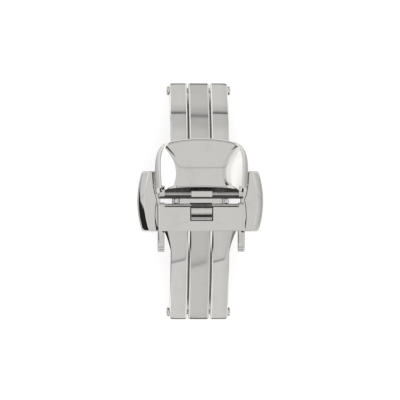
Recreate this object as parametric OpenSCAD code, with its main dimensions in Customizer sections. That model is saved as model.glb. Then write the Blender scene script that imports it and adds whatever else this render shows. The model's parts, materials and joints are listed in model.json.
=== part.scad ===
// Push-button folding clasp for a watch strap, closed, outer face up.
// X runs across the strap, Y along it towards the cover, Z out of the wrist.

/* [Strap] */
// Width between the two legs, which is the width of the strap
strap_w = 16.2; // [15:0.1:20]
// Thickness of each leg and side wall of the strap frame
leg_t = 1.4; // [1.1:0.05:1.8]
// Height of the channel that the strap runs through
channel_h = 1.7; // [1.4:0.05:2.4]
// Radius of the holes for the spring bar
bar_hole_r = 0.45; // [0.35:0.05:0.6]

/* [Blades] */
// Distance between the two hinge pins
pin_span = 49.4; // [46:0.2:56]
// Radius of the blades' outer surface
blade_r = 46.5; // [42:0.5:60]
// Thickness of a blade
blade_t = 1.1; // [0.9:0.05:1.4]
// Width of the centre bar
centre_w = 4.5; // [4.2:0.1:5]
// Width of each side bar
side_w = 3.8; // [3.4:0.1:4.4]
// Gap between the centre bar and a side bar
bar_gap = 0.4; // [0.3:0.05:0.6]
// Length of a blade past its hinge pin
tip_len = 1.65; // [1.3:0.05:2]
// Chamfer along the upper edges of the bars
bar_chamfer = 0.12; // [0.05:0.01:0.2]
// How far a fork spreads out on each side near the middle
flare_w = 1.3; // [0.8:0.05:1.4]
// Length of that spread
flare_len = 4.9; // [4:0.1:6]

/* [Hinges] */
// Radius of the shank of a hinge pin
pin_r = 0.5; // [0.4:0.02:0.6]
// Radius of the eye round a hinge pin
eye_r = 1; // [0.9:0.02:1.05]
// Radius of the domed head of a hinge pin
head_r = 0.95; // [0.8:0.05:1]
// How far that head stands out
head_h = 0.6; // [0.4:0.05:0.8]
// Radius of the rod that the cover turns on
cover_rod_r = 0.42; // [0.35:0.01:0.45]
// Radius of the cover's knuckle on that rod
cover_knuckle_r = 0.72; // [0.65:0.01:0.75]
// Radius of the rod that the tail clip turns on
clip_rod_r = 0.33; // [0.25:0.01:0.36]
// Radius of the clip's knuckle
clip_knuckle_r = 0.56; // [0.5:0.01:0.6]
// Width of both centre knuckles
knuckle_w = 4.6; // [4:0.1:5]
// Radial clearance of what turns or slides
run_gap = 0.05; // [0.03:0.01:0.07]
// Radial clearance of what is pressed or riveted in
seat_gap = 0.01; // [0.005:0.005:0.02]

/* [Lock] */
// Width of the lock housing
housing_w = 9.4; // [9:0.1:10]
// Length of the lock housing
housing_l = 10.4; // [10.2:0.1:10.8]
// Height of the lock housing with its lid
housing_h = 1.5; // [1.45:0.05:1.8]
// Thickness of the lid
lid_t = 0.3; // [0.2:0.02:0.35]
// Thickness of the housing's side walls
housing_wall = 0.6; // [0.4:0.05:0.7]
// Thickness of the housing's end walls
housing_end = 0.9; // [0.8:0.05:1]
// Width of each stem guide
guide_w = 1.3; // [1:0.05:1.5]
// Slit between the housing and a guide
guide_slit = 0.2; // [0.15:0.01:0.25]
// Radius of a push-button's stem
stem_r = 0.45; // [0.35:0.01:0.46]
// Distance of each stem from the middle of the clasp
stem_y = 3.6; // [3.5:0.05:3.7]
// How far a push-button travels
travel = 0.85; // [0.6:0.05:0.9]
// Radius of a rivet
rivet_r = 0.28; // [0.2:0.01:0.3]

/* [Push-buttons] */
// Width over both push-buttons
buttons_w = 27.7; // [27:0.1:30]
// Length of a push-button
button_l = 13.2; // [12:0.1:14]
// Height of a push-button
button_h = 2.9; // [2.4:0.1:3.2]
// Radius of a push-button's outer edge
button_arc_r = 21; // [16:0.5:30]
// Clearance between a pressed button and the fork beside it
button_gap = 0.3; // [0.2:0.05:0.5]

/* [Arms] */
// Thickness of the head plate of an arm
head_t = 0.7; // [0.6:0.05:0.9]
// Clearance between the housing's lid and a head plate
lift_gap = 0.15; // [0.1:0.01:0.25]
// Half of the open gap between the two head plates
head_y = 0.57; // [0.5:0.01:0.7]
// Length of a head plate
head_l = 5.88; // [5.85:0.01:6.1]
// Thickness of the riser between the bars and the head plate
riser_t = 0.75; // [0.6:0.05:0.75]

/* [Cover] */
// Clearance between the cover's skirt and the cheeks inside it
cover_play = 0.15; // [0.12:0.01:0.25]
// Place of the cover's upper edge
cover_top_y = 13.76; // [13:0.05:15]
// Place of the middle of the cover's lower edge
cover_low_y = 3.08; // [2.9:0.02:3.2]
// Radius of the cover's upper edge
cover_top_r = 32; // [28:0.5:40]
// Radius of the cover's lower edge
cover_low_r = 73; // [60:1:90]
// Radius of the rounds at the ends of the lower edge
horn_r = 3; // [2.5:0.1:3.5]
// Radius of the cover's side edges
cover_side_r = 30; // [28:0.5:40]
// Place of the widest part of the side edges
cover_side_y = 6.5; // [6:0.1:7]
// Radius that rounds off the two upper corners
cover_corner_r = 11.3; // [11.1:0.1:12]
// Place of that round's middle along the strap
cover_corner_y = 5; // [4.5:0.1:5.5]
// Radius of the cover's crown along the strap
crown_r = 30; // [28:0.5:40]
// Place of the crown's highest line
crown_y = 6.3; // [6:0.1:7]
// Greatest thickness of the cover's top
cover_t = 1.2; // [1.1:0.05:1.5]
// Wall of the cover's skirt
skirt_t = 0.75; // [0.6:0.05:0.8]
// Slope of the two side facets, in degrees
facet_tilt = 12; // [8:0.5:12.5]
// Distance of the facets' inner edge from the middle
facet_x = 5.4; // [5.2:0.1:6.5]
// Radius of the peg that enters the strap's hole
peg_r = 0.8; // [0.6:0.05:1]
// Length of the peg below its plate
peg_l = 2.2; // [1.6:0.1:2.6]
// Place of the peg along the strap
peg_y = 8; // [7.6:0.1:9]

/* [Frame] */
// Thickness of the frame's bridge
bridge_t = 1.05; // [0.95:0.05:1.3]
// Length of the bridge along the strap
bridge_l = 5.3; // [5:0.05:5.5]
// Width of the notch in the bridge
notch_w = 5; // [4.9:0.1:5.4]
// Length of the notch
notch_l = 3.05; // [2.8:0.05:3.4]
// Distance from the bridge to the spring bar's axis
leg_reach = 3.4; // [3:0.05:4.4]
// Radius of the legs' rounded ends
leg_end_r = 1.1; // [1:0.05:1.3]

/* [Springs] */
// Thickness of the spring wire
wire_d = 0.2; // [0.12:0.01:0.22]
// Full turns of one spring
turns = 4; // [3:1:4]

/* [Hidden] */
$fn = 64;

// Small overshoot of a cutting shape past the face that it cuts
over = 0.5;
// Clearance between parts that pass each other
pass = 0.15;

// The arc of the blades: its centre lies below, on the clasp's middle
pin_y = pin_span / 2;
pin_z = eye_r;
pin_in = 1.1;
pin_arc_r = blade_r - pin_in;
arc_z = pin_z - sqrt(pow(pin_arc_r, 2) - pow(pin_y, 2));
blade_top = arc_z + blade_r;
tip_angle = asin((pin_y + tip_len) / blade_r);

// Half widths across the strap
centre_x = centre_w / 2;
bar_in = centre_x + bar_gap;
bar_out = bar_in + side_w;
fork_x = bar_out + flare_w;
leg_in = strap_w / 2;
leg_out = leg_in + leg_t;
housing_x = housing_w / 2;
guide_in = housing_x + guide_slit;
guide_out = guide_in + guide_w;

// Places along the strap
housing_y = housing_l / 2;
riser_out = head_y + head_l;
riser_in = riser_out - riser_t;

// Levels, from the wrist outward
pad_bottom = arc_z + sqrt(pow(blade_r - blade_t, 2) - pow(housing_y, 2));
pad_top = blade_top;
lid_top = pad_top + housing_h;
lid_bottom = lid_top - lid_t;
head_bottom = lid_top + lift_gap;
head_top = head_bottom + head_t;
bridge_bottom = head_top + channel_h;
bridge_top = bridge_bottom + bridge_t;
stem_z = pad_top + (housing_h - lid_t) / 2 + 0.02;

// The cover's rod, seated in the cheeks
cover_rod_y = 1.6;
cover_rod_z = bridge_bottom + cover_knuckle_r;
cheek_top = cover_rod_z + cover_knuckle_r - 0.05;
cheek_t = leg_t - 0.2;
cheek_out = leg_in + cheek_t;
ceiling = cover_rod_z + cover_knuckle_r + 0.1;
crown_top = ceiling + cover_t;
cover_x = cheek_out + cover_play + skirt_t;
horn_x = cover_x - 0.3 - horn_r;
horn_y = cover_low_y - cover_low_r + sqrt(pow(cover_low_r - horn_r, 2) - pow(horn_x, 2));
plate_t = 0.6;
plate_margin = 0.35;
plate_x = leg_in - 2 * pass;
plate_low = cover_low_y + plate_margin;
plate_high = cover_top_y - skirt_t - 6 * plate_margin;

// The clip's rod, seated in the frame's side walls
ear_y = -0.3;
clip_rod_y = ear_y - clip_rod_r - 0.22;
clip_rod_z = bridge_bottom + bridge_t / 2;
bridge_y = clip_rod_y - clip_rod_r - 0.05;
bridge_end = bridge_y - bridge_l;
notch_end = bridge_y - notch_l;
leg_y = bridge_end - leg_reach;
leg_sink = 0.75;
leg_z = head_top + leg_end_r - leg_sink;

// The push-buttons at rest, and what moves inside the housing
button_in = fork_x + button_gap + travel;
button_out = buttons_w / 2;
button_top = lid_top - 0.35;
button_bottom = button_top - button_h;
stem_out = button_in + 2;
cavity_out = housing_x - housing_wall;
catch_in = 2;
catch_out = catch_in + 0.6;
rib_x = catch_in - travel - 0.05;
tooth_x = catch_out + 0.3;
strike_in = tooth_x + 0.05;
strike_t = 0.55;
strike_y = 1.7;
strike_w = 0.8;
strike_swing = 0.9;
strike_bottom = pad_top + 0.24;
tooth_bottom = strike_bottom + 0.4;

// A spring fills the space between a guide and its push-button
coil_r = stem_r + 0.08 + wire_d / 2;
coil_l = button_in - guide_out;
coil_pitch = (coil_l - wire_d - 0.04) / turns;
ring_sides = 6;
turn_rings = 8;
echo(spring_gap_mm = spring_gap());

// Sector of a blade between two widths and two angles from the middle, with chamfered upper edges
module arc_bar(x0, x1, a0, a1) {
    r_in = blade_r - blade_t;
    translate([0, 0, arc_z])
        rotate([0, 90, 0])
            rotate([0, 0, 180 - a1])
                rotate_extrude(angle = a1 - a0)
                    polygon([[r_in, x0], [blade_r - bar_chamfer, x0], [blade_r, x0 + bar_chamfer],
                        [blade_r, x1 - bar_chamfer], [blade_r - bar_chamfer, x1], [r_in, x1]]);
}

// Round bar along X between two places
module x_rod(r, x0, x1, y, z) {
    translate([x0, y, z])
        rotate([0, 90, 0])
            cylinder(r = r, h = x1 - x0);
}

// Box from one corner to the opposite one
module box(low, high) {
    translate(low)
        cube(high - low);
}

// The same shape on the left and on the right
module both_sides() {
    children();
    mirror([1, 0, 0])
        children();
}

// The same shape towards the cover and towards the legs
module both_ends() {
    children();
    mirror([0, 1, 0])
        children();
}

module base_blade() {
    color("silver")
        difference() {
            union() {
                arc_bar(-centre_x, centre_x, -tip_angle, tip_angle);
                both_ends()
                    x_rod(eye_r, -centre_x, centre_x, pin_y, pin_z);
                box([-guide_out, -housing_y, pad_bottom], [guide_out, housing_y, pad_top]);
            }
            both_ends()
                x_rod(pin_r + seat_gap, -centre_x - over, centre_x + over, pin_y, pin_z);
            rivet_places()
                translate([0, 0, pad_bottom - over])
                    cylinder(r = rivet_r + seat_gap, h = pad_top - pad_bottom + 2 * over);
        }
}

// Four rivets through the housing and four through the guides
module rivet_places() {
    for (sx = [-1, 1], sy = [-1, 1]) {
        translate([sx * (cavity_out - 0.5), sy * (housing_y - housing_end / 2), 0])
            children();
        translate([sx * (guide_in + guide_w / 2), sy * stem_y / 2, 0])
            children();
    }
}

module lock_rivets() {
    color("gainsboro")
        rivet_places() {
            translate([0, 0, pad_bottom])
                cylinder(r = rivet_r, h = lid_top - pad_bottom);
            translate([0, 0, pad_bottom - 0.15])
                cylinder(r = rivet_r + 0.17, h = 0.15);
        }
}

module lock_housing() {
    color("darkgray")
        difference() {
            box([-housing_x, -housing_y, pad_top], [housing_x, housing_y, lid_bottom]);
            both_sides()
                box([rib_x, -housing_y + housing_end, pad_top - over],
                    [cavity_out, housing_y - housing_end, lid_bottom + over]);
            for (sy = [-1, 1])
                x_rod(stem_r + run_gap, -housing_x - over, -rib_x, sy * stem_y, stem_z);
            for (sy = [-1, 1])
                x_rod(stem_r + run_gap, rib_x, housing_x + over, sy * stem_y, stem_z);
            rivet_places()
                translate([0, 0, pad_top - over])
                    cylinder(r = rivet_r + seat_gap, h = housing_h + 2 * over);
        }
}

module housing_lid() {
    color("darkgray")
        difference() {
            box([-housing_x, -housing_y, lid_bottom], [housing_x, housing_y, lid_top]);
            both_sides()
                both_ends()
                    box([strike_in - pass, strike_y - 0.2, lid_bottom - over],
                        [strike_in + strike_t + pass, strike_y + strike_w + strike_swing, lid_top + over]);
            rivet_places()
                translate([0, 0, lid_bottom - over])
                    cylinder(r = rivet_r + seat_gap, h = lid_t + 2 * over);
        }
}

module stem_guide() {
    difference() {
        box([guide_in, -housing_y, pad_top], [guide_out, housing_y, lid_top]);
        for (sy = [-1, 1])
            x_rod(stem_r + run_gap, guide_in - over, guide_out + over, sy * stem_y, stem_z);
        rivet_places()
            translate([0, 0, pad_top - over])
                cylinder(r = rivet_r + seat_gap, h = housing_h + 2 * over);
    }
}

module left_stem_guide() {
    color("lightgray")
        mirror([1, 0, 0])
            stem_guide();
}

module right_stem_guide() {
    color("lightgray")
        stem_guide();
}

// Pin across one end of the blades, with a domed head on each side
module hinge_pin() {
    dome_r = (pow(head_r, 2) + pow(head_h, 2)) / (2 * head_h);
    head_x = bar_out + run_gap;
    color("gainsboro") {
        x_rod(pin_r, -head_x - head_h / 2, head_x + head_h / 2, pin_y, pin_z);
        both_sides()
            intersection() {
                translate([head_x + head_h - dome_r, pin_y, pin_z])
                    rotate([0, 90, 0])
                        sphere(r = dome_r);
                x_rod(2 * head_r, head_x, head_x + 2 * head_h, pin_y, pin_z);
            }
    }
}

module upper_hinge_pin() {
    hinge_pin();
}

module lower_hinge_pin() {
    mirror([0, 1, 0])
        hinge_pin();
}

// Outline of one side bar from above, which spreads in an arc near the middle
module side_bar_outline() {
    flare_y = riser_out + flare_len;
    flare_r = (pow(flare_len, 2) + pow(flare_w, 2)) / (2 * flare_w);
    steps = 16;
    full = asin(flare_len / flare_r);
    arc = [for (i = [0 : steps]) let (a = full * i / steps)
        [bar_out + flare_r * (1 - cos(a)), flare_y - flare_r * sin(a)]];
    polygon(concat([[bar_in, riser_in], [bar_in, pin_span], [bar_out, pin_span]], arc,
        [[fork_x, riser_in]]));
}

// Fork of two bars, with a riser and a head plate over the lock
module arm(head_x) {
    angle_in = asin(riser_in / blade_r);
    slot_top = blade_top + pass;
    both_sides()
        difference() {
            union() {
                intersection() {
                    arc_bar(bar_in, fork_x + over, angle_in, tip_angle);
                    linear_extrude(bridge_top)
                        side_bar_outline();
                }
                x_rod(eye_r, bar_in, bar_out, pin_y, pin_z);
            }
            x_rod(pin_r + run_gap, bar_in - over, bar_out + over, pin_y, pin_z);
        }
    riser_low = arc_z + sqrt(pow(blade_r - blade_t, 2) - pow(riser_out, 2)) + 0.3;
    difference() {
        box([-fork_x, riser_in, riser_low], [fork_x, riser_out, head_top]);
        box([-bar_in, riser_in - over, riser_low - over], [bar_in, riser_out + over, slot_top]);
    }
    box([-head_x, head_y, head_bottom], [head_x, riser_out, head_top]);
}

module upper_arm() {
    color("silver")
        arm(cheek_out);
}

module lower_arm() {
    color("silver")
        mirror([0, 1, 0])
            arm(leg_out);
}

// Two hooks under a head plate, which drop into the housing
module strikers() {
    color("dimgray")
        both_sides() {
            box([strike_in + 0.2, strike_y, strike_bottom],
                [strike_in + strike_t, strike_y + strike_w, head_bottom]);
            box([strike_in, strike_y, strike_bottom],
                [strike_in + strike_t, strike_y + strike_w, strike_bottom + 0.35]);
        }
}

module upper_strikers() {
    strikers();
}

module lower_strikers() {
    mirror([0, 1, 0])
        strikers();
}

// Wall on the upper arm that holds one end of the cover's rod
module cheek() {
    difference() {
        union() {
            x_rod(cover_knuckle_r, leg_in, cheek_out, cover_rod_y, cover_rod_z);
            box([leg_in, cover_rod_y - cover_knuckle_r, head_top],
                [cheek_out, riser_out, cover_rod_z]);
            box([leg_in, cover_rod_y, cover_rod_z - 0.1], [cheek_out, riser_out, cheek_top]);
        }
        x_rod(cover_rod_r + seat_gap, leg_in - over, cheek_out + over, cover_rod_y, cover_rod_z);
    }
}

module left_cheek() {
    color("silver")
        mirror([1, 0, 0])
            cheek();
}

module right_cheek() {
    color("silver")
        cheek();
}

module cover_rod() {
    color("gainsboro")
        x_rod(cover_rod_r, -cheek_out, cheek_out, cover_rod_y, cover_rod_z);
}

// Cushion outline of the cover, drawn in by a given amount
module cover_outline(inset, $fn = 240) {
    difference() {
        intersection() {
            translate([0, cover_top_y - cover_top_r])
                circle(r = cover_top_r - inset);
            translate([0, cover_corner_y])
                circle(r = cover_corner_r - inset);
            cover_side(1, inset);
            cover_side(-1, inset);
        }
        cover_low_cut(inset);
    }
}

// What is cut away below the cover: a low arch that runs into a round at each end
module cover_low_cut(inset) {
    meet_x = horn_x * (cover_low_r + inset) / (cover_low_r - horn_r);
    low = horn_y - cover_x;
    intersection() {
        translate([0, cover_low_y - cover_low_r])
            circle(r = cover_low_r + inset);
        translate([-meet_x, low])
            square([2 * meet_x, cover_low_y + inset + over - low]);
    }
    translate([-horn_x - horn_r - inset, low])
        square([2 * (horn_x + horn_r + inset), horn_y - low]);
    for (side = [-1, 1])
        translate([side * horn_x, horn_y])
            circle(r = horn_r + inset);
}

module cover_side(side, inset) {
    translate([side * (cover_x - cover_side_r), cover_side_y])
        circle(r = cover_side_r - inset);
}

module cover() {
    rod_clear_y = cover_low_y + skirt_t + 0.3;
    color("silver")
        difference() {
            intersection() {
                translate([0, 0, bridge_bottom])
                    linear_extrude(crown_top - bridge_bottom + over)
                        cover_outline(0);
                x_rod(crown_r, -cover_x - over, cover_x + over, crown_y, crown_top - crown_r, $fn = 240);
            }
            translate([0, 0, bridge_bottom - over])
                linear_extrude(ceiling - bridge_bottom + over)
                    cover_outline(skirt_t);
            box([-cheek_out - pass, -over, bridge_bottom - over],
                [cheek_out + pass, rod_clear_y, ceiling]);
            both_sides()
                translate([facet_x, crown_y, crown_top])
                    rotate([0, facet_tilt, 0])
                        translate([-cover_x, -cover_top_y, 0])
                            cube([4 * cover_x, 2 * cover_top_y, 4 * cover_t]);
        }
}

// Plate inside the cover, with the centre knuckle that turns on the rod
module cover_hinge_plate() {
    knuckle_x = knuckle_w / 2;
    color("lightgray")
        difference() {
            union() {
                box([-plate_x, plate_low, ceiling - plate_t], [plate_x, plate_high, ceiling]);
                box([-knuckle_x, cover_rod_y, ceiling - plate_t], [knuckle_x, plate_low + over,
                    ceiling - 0.3]);
                x_rod(cover_knuckle_r, -knuckle_x, knuckle_x, cover_rod_y, cover_rod_z);
            }
            x_rod(cover_rod_r + run_gap, -knuckle_x - over, knuckle_x + over, cover_rod_y, cover_rod_z);
            translate([0, peg_y, ceiling - plate_t - over])
                cylinder(r = peg_r / 2 + seat_gap, h = plate_t + over);
        }
}

// Peg for the strap's hole, with a round end and a thin shank in the plate
module strap_peg() {
    peg_top = ceiling - plate_t;
    color("gainsboro")
        translate([0, peg_y, 0]) {
            translate([0, 0, peg_top])
                cylinder(r = peg_r / 2, h = plate_t);
            translate([0, 0, peg_top - peg_l + peg_r / 2])
                cylinder(r = peg_r, h = peg_l - peg_r / 2);
            translate([0, 0, peg_top - peg_l])
                cylinder(r1 = peg_r / 2, r2 = peg_r, h = peg_r / 2);
        }
}

// Side wall of the frame with the leg behind it, seen from the side
module leg_wall() {
    slope_y = leg_y - 0.2;
    difference() {
        union() {
            box([leg_in, bridge_end, head_top], [leg_out, ear_y - clip_rod_r, bridge_top]);
            box([leg_in, bridge_end, head_top], [leg_out, ear_y, clip_rod_z + clip_knuckle_r - 0.1]);
            x_rod(leg_end_r, leg_in, leg_out, leg_y, leg_z);
            translate([leg_in, 0, 0])
                rotate([90, 0, 90])
                    linear_extrude(leg_t)
                        polygon([[bridge_end + 0.1, bridge_top], [bridge_end + 0.1, head_bottom],
                            [slope_y, leg_z - leg_end_r + 0.02], [slope_y, leg_z + leg_end_r - 0.02]]);
        }
        x_rod(bar_hole_r, leg_in - over, leg_out + over, leg_y, leg_z);
        x_rod(clip_rod_r + seat_gap, leg_in - over, leg_out + over, clip_rod_y, clip_rod_z);
        box([leg_in - over, -riser_out, head_bottom - over], [leg_out + over, over, head_top]);
    }
}

// Bridge over the strap with its notch, side walls and legs
module strap_frame() {
    color("silver") {
        both_sides()
            leg_wall();
        difference() {
            box([-leg_in, bridge_end, bridge_bottom], [leg_in, bridge_y, bridge_top]);
            box([-notch_w / 2, notch_end, bridge_bottom - over],
                [notch_w / 2, bridge_y + over, bridge_top + over]);
        }
    }
}

module clip_rod() {
    color("gainsboro")
        x_rod(clip_rod_r, -leg_out, leg_out, clip_rod_y, clip_rod_z);
}

// Small clip in the notch, with a raised bead, a groove and a finger lip
module tail_clip() {
    clip_x = knuckle_w / 2;
    clip_end = notch_end + 0.1;
    clip_low = bridge_bottom + 0.05;
    bead_r = 0.5;
    bead_w = 0.3;
    bead_y = bridge_y - bead_r - 0.1;
    lip_w = 0.8;
    color("gainsboro")
        difference() {
            union() {
                x_rod(clip_knuckle_r, -clip_x, clip_x, clip_rod_y, clip_rod_z);
                box([-clip_x, clip_end, clip_low], [clip_x, clip_rod_y, clip_low + 0.4]);
                x_rod(bead_r, -clip_x, clip_x, bead_y, clip_low + bead_r);
                x_rod(bead_r, -clip_x, clip_x, bead_y - bead_w, clip_low + bead_r);
                box([-clip_x, bead_y - bead_w, clip_low], [clip_x, bead_y, clip_low + 2 * bead_r]);
                box([-clip_x, clip_end, clip_low], [clip_x, clip_end + lip_w, bridge_top - 0.15]);
            }
            x_rod(clip_rod_r + run_gap, -clip_x - over, clip_x + over, clip_rod_y, clip_rod_z);
        }
}

// D-shaped push-button with a bevelled inner edge
module button() {
    bevel_x = leg_out + 0.45;
    difference() {
        intersection() {
            box([button_in, -button_l / 2, button_bottom], [button_out, button_l / 2, button_top]);
            translate([button_out - button_arc_r, 0, button_bottom - over])
                cylinder(r = button_arc_r, h = button_h + 2 * over, $fn = 240);
        }
        for (sy = [-1, 1])
            x_rod(stem_r + seat_gap, button_in - over, stem_out, sy * stem_y, stem_z);
        translate([bevel_x, -button_l, button_top])
            rotate([0, -30, 0])
                translate([-button_h, 0, 0])
                    cube([button_h, 2 * button_l, button_h]);
    }
}

module left_button() {
    color("silver")
        mirror([1, 0, 0])
            button();
}

module right_button() {
    color("silver")
        button();
}

// Two stems, each with the collar that stops it inside the housing
module stems() {
    for (sy = [-1, 1]) {
        x_rod(stem_r, catch_in, stem_out, sy * stem_y, stem_z);
        x_rod(stem_r + 0.1, cavity_out - 0.25, cavity_out - 0.05, sy * stem_y, stem_z);
    }
}

module left_stems() {
    color("gainsboro")
        mirror([1, 0, 0])
            stems();
}

module right_stems() {
    color("gainsboro")
        stems();
}

// Plate across both stems, with a tooth for each arm's striker
module catch_plate() {
    half = stem_y + stem_r + 0.15;
    difference() {
        union() {
            box([catch_in, -half, pad_top + 0.05], [catch_out, half, lid_bottom - 0.05]);
            both_ends()
                box([catch_out - 0.1, strike_y, tooth_bottom],
                    [tooth_x, strike_y + strike_w, lid_bottom - 0.05]);
        }
        for (sy = [-1, 1])
            x_rod(stem_r + seat_gap, catch_in - over, catch_out + over, sy * stem_y, stem_z);
    }
}

module left_catch() {
    color("dimgray")
        mirror([1, 0, 0])
            catch_plate();
}

module right_catch() {
    color("dimgray")
        catch_plate();
}

// Point of a spring's centre line after a number of rings
function coil_point(i) = let (a = 360 * i / turn_rings)
    [guide_out + wire_d / 2 + 0.02 + coil_pitch * i / turn_rings, coil_r * cos(a), coil_r * sin(a)];

// Ring of points round the wire, in the plane through the spring's axis
function coil_ring(i) = let (a = 360 * i / turn_rings, p = coil_point(i))
    [for (s = [0 : ring_sides - 1]) let (b = 360 * s / ring_sides, r = wire_d / 2)
        p + [r * sin(b), r * cos(b) * cos(a), r * cos(b) * sin(a)]];

// Least distance between the surfaces of neighbouring turns, measured on the points
function spring_gap() = min([for (i = [0 : turn_rings * (turns - 1)])
    min([for (k = [turn_rings - 2 : turn_rings + 2]) norm(coil_point(i + k) - coil_point(i))])]) - wire_d;

module spring() {
    rings = turn_rings * turns;
    points = [for (i = [0 : rings]) each coil_ring(i)];
    sides = [for (i = [0 : rings - 1], s = [0 : ring_sides - 1])
        let (a = i * ring_sides + s, b = i * ring_sides + (s + 1) % ring_sides)
            each [[a, b, a + ring_sides], [b, b + ring_sides, a + ring_sides]]];
    low_cap = [for (s = [1 : ring_sides - 2]) [0, s + 1, s]];
    last = rings * ring_sides;
    high_cap = [for (s = [1 : ring_sides - 2]) [last, last + s, last + s + 1]];
    polyhedron(points = points, faces = concat(sides, low_cap, high_cap), convexity = 8);
}

module springs() {
    for (sy = [-1, 1])
        translate([0, sy * stem_y, stem_z])
            spring();
}

module left_springs() {
    color("gray")
        mirror([1, 0, 0])
            springs();
}

module right_springs() {
    color("gray")
        springs();
}

base_blade();
lock_housing();
housing_lid();
left_stem_guide();
right_stem_guide();
lock_rivets();
upper_hinge_pin();
lower_hinge_pin();
upper_arm();
upper_strikers();
left_cheek();
right_cheek();
cover_rod();
cover();
cover_hinge_plate();
strap_peg();
lower_arm();
lower_strikers();
strap_frame();
clip_rod();
tail_clip();
left_button();
left_stems();
left_catch();
left_springs();
right_button();
right_stems();
right_catch();
right_springs();
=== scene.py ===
import json
import math

import bpy
import numpy as np
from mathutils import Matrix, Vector
from mathutils.geometry import tessellate_polygon


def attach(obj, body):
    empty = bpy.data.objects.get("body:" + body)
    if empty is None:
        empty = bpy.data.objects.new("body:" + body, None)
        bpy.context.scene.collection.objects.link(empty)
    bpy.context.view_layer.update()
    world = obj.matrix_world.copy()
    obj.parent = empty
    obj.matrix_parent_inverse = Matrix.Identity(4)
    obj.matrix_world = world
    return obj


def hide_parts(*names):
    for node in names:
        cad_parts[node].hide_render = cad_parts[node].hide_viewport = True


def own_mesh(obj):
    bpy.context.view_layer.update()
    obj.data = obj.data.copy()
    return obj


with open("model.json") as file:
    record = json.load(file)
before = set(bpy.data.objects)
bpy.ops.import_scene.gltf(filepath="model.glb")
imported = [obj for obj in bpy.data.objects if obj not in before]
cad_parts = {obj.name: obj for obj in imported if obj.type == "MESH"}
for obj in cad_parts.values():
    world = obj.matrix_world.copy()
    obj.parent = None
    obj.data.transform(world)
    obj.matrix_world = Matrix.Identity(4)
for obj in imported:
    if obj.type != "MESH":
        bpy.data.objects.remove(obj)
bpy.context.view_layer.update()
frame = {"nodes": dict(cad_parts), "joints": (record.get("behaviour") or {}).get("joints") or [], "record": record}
nodes = frame["nodes"]
scene = bpy.context.scene
scene.view_settings.view_transform = "Standard"

# The view: a long lens 600 mm above the clasp, which leans a little to the left,
# so that the raised frame and cover shift to the right of the blades.
lens_distance = 0.600
lens_lean = 3.15
aimed_at = (-0.00035, 0.00028, 0.0140)
lens = bpy.data.cameras.new("view")
lens.sensor_width = 36.0
lens.lens = 247.0
lens.clip_start = 0.05
camera = bpy.data.objects.new("view", lens)
camera.location = (aimed_at[0] - lens_distance * math.sin(math.radians(lens_lean)), aimed_at[1],
                   aimed_at[2] + lens_distance * math.cos(math.radians(lens_lean)))
camera.rotation_euler = (0.0, -math.radians(lens_lean), 0.0)
scene.collection.objects.link(camera)
scene.camera = camera


# The studio: a pale tent with a bright cloth on the left and a softer one on the right. Polished
# steel is seen only by what it mirrors, so the tent's seams and openings are here too, and so are a
# black cloth, the dark camera and white cards. Each lies in a band of angles, as seen from the clasp.
def add(tree, kind, *values, **settings):
    """A new shader node with its settings, its inputs set or joined in order; gives its first output."""
    made = tree.nodes.new("ShaderNode" + kind)
    for key, value in settings.items():
        setattr(made, key, value)
    for socket, value in zip(made.inputs, values):
        if isinstance(value, bpy.types.NodeSocket):
            tree.links.new(value, socket)
        elif value is not None:
            socket.default_value = value
    return made.outputs[0]


def calc(tree, operation, *values):
    """A Math node."""
    return add(tree, "Math", *values, operation=operation)


def in_degrees(tree, operation, *values):
    """An angle from a Math node, in degrees."""
    return calc(tree, "DEGREES", calc(tree, operation, *values))


def ease(tree, value, start, end):
    """0 before start and 1 after end, with a smooth step between."""
    return add(tree, "MapRange", value, start, end, 0.0, 1.0, interpolation_type="SMOOTHSTEP")


def band(tree, value, low, high, soft, soft_high=None):
    """1 between low and high and 0 outside. Each edge reaches soft to both sides, or the high one
    soft_high."""
    soft_high = soft if soft_high is None else soft_high
    rise = ease(tree, value, low - soft, low + soft)
    fall = ease(tree, value, high - soft_high, high + soft_high)
    return calc(tree, "SUBTRACT", rise, fall)


def dimmed(tree, tone, mask, gain):
    """The tone, multiplied by gain where the mask is 1."""
    return calc(tree, "MULTIPLY", tone, calc(tree, "MULTIPLY_ADD", mask, gain - 1.0, 1.0))


studio = bpy.data.worlds.new("studio")
scene.world = studio
studio.use_nodes = True
tent = studio.node_tree
tent.nodes.clear()
dx, dy, dz = add(tent, "SeparateXYZ", add(tent, "TexCoord")).node.outputs
# Seams and cloths in the tent's top: the way that each leans from straight up, from and to in degrees,
# how soft its two edges are, and its brightness. "x" leans towards +X and "y" towards +Y. The "seam"
# behind the lower blades hangs askew: it rises to the right and sags beyond its corner.
tent_tone = 1.13
tent_bands = (
    ("y", 49.0, 50.5, 0.4, 1.2, 0.21),
    ("y", 49.8, 54.5, 0.6, 3.5, 0.80),
    ("y", 41.5, 49.0, 2.5, 0.6, 0.85),
    ("seam", -36.6, -35.3, 0.35, 0.9, 0.60),
    ("seam", -36.6, -34.5, 0.35, 2.5, 0.88),
    ("seam", -36.6, -12.0, 0.35, 3.0, 0.95),
    ("seam", -80.0, -36.6, 3.0, 0.35, 1.04),
    ("y", 3.9, 5.0, 0.5, 0.5, 0.74),
    ("x", -30.0, -15.5, 0.8, 2.5, 2.3),
    ("x", 4.8, 11.0, 1.0, 2.0, 0.92),
    ("x", 14.0, 36.0, 5.0, 5.0, 1.40),
    ("x", 25.8, 28.6, 1.3, 0.9, 1.22),
)
seam_slant, seam_corner, seam_sag = -0.45, 4.7, -8.0
lean = {"x": in_degrees(tent, "ARCSINE", dx), "y": in_degrees(tent, "ARCTAN2", dy, dz)}
askew = calc(tent, "MULTIPLY_ADD", calc(tent, "SUBTRACT", lean["x"], lens_lean), seam_slant, lean["y"])
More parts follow.
